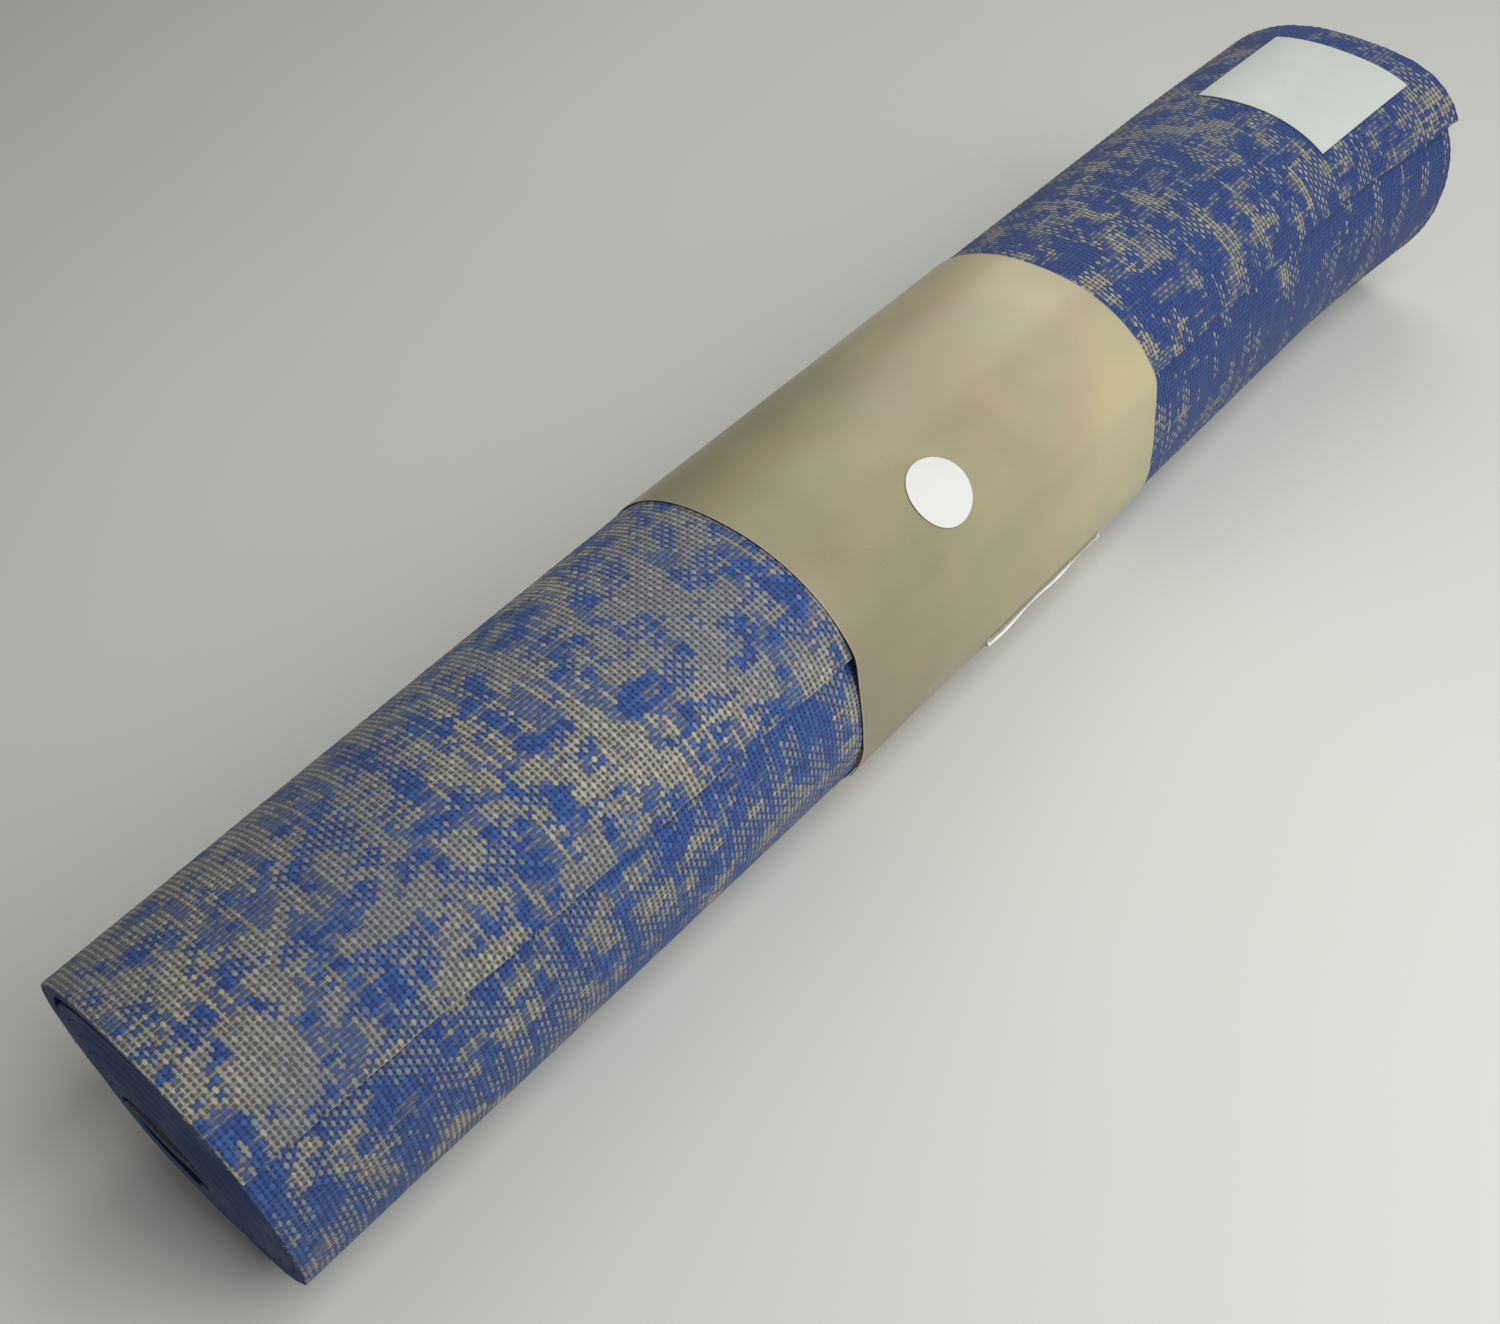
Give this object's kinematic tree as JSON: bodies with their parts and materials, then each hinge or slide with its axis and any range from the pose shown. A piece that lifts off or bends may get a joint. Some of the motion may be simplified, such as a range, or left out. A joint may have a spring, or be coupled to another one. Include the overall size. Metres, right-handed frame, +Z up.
{
  "type": "rolled yoga mat",
  "caption": "Yoga mat of foam with a woven face, rolled up round an open eye and held by a taped paper sleeve that slides along the roll and off one end.",
  "frame": {"origin": "on the surface that the roll rests on, under the middle of the part's box", "axes": "+X along the roll, from its plain end to its labelled end; +Z up; the loose edge of the sheet runs along X, high on the -Y side"},
  "size_m": [0.61, 0.1114, 0.1089],
  "materials": {
    "foam": "smooth matt closed-cell foam, dark navy",
    "weave": "plain weave of royal blue and undyed tan yarns in broken blocks",
    "label": "pale grey satin film",
    "paper": "taupe coated paper with a soft sheen",
    "tape": "clear glossy tape",
    "sticker": "white coated paper"
  },
  "bodies": {
    "roll": {"mat_foam_base": "foam", "mat_woven_face": "weave", "end_label": "label"},
    "sleeve": {"paper_sleeve": "paper", "closure_tape": "tape", "round_sticker": "sticker"}
  },
  "joints": [
    {"name": "sleeve_slide", "type": "slide", "parent": "roll", "child": "sleeve", "axis": [1, 0, 0], "range_m": [-0.4, 0.14]}
  ]
}
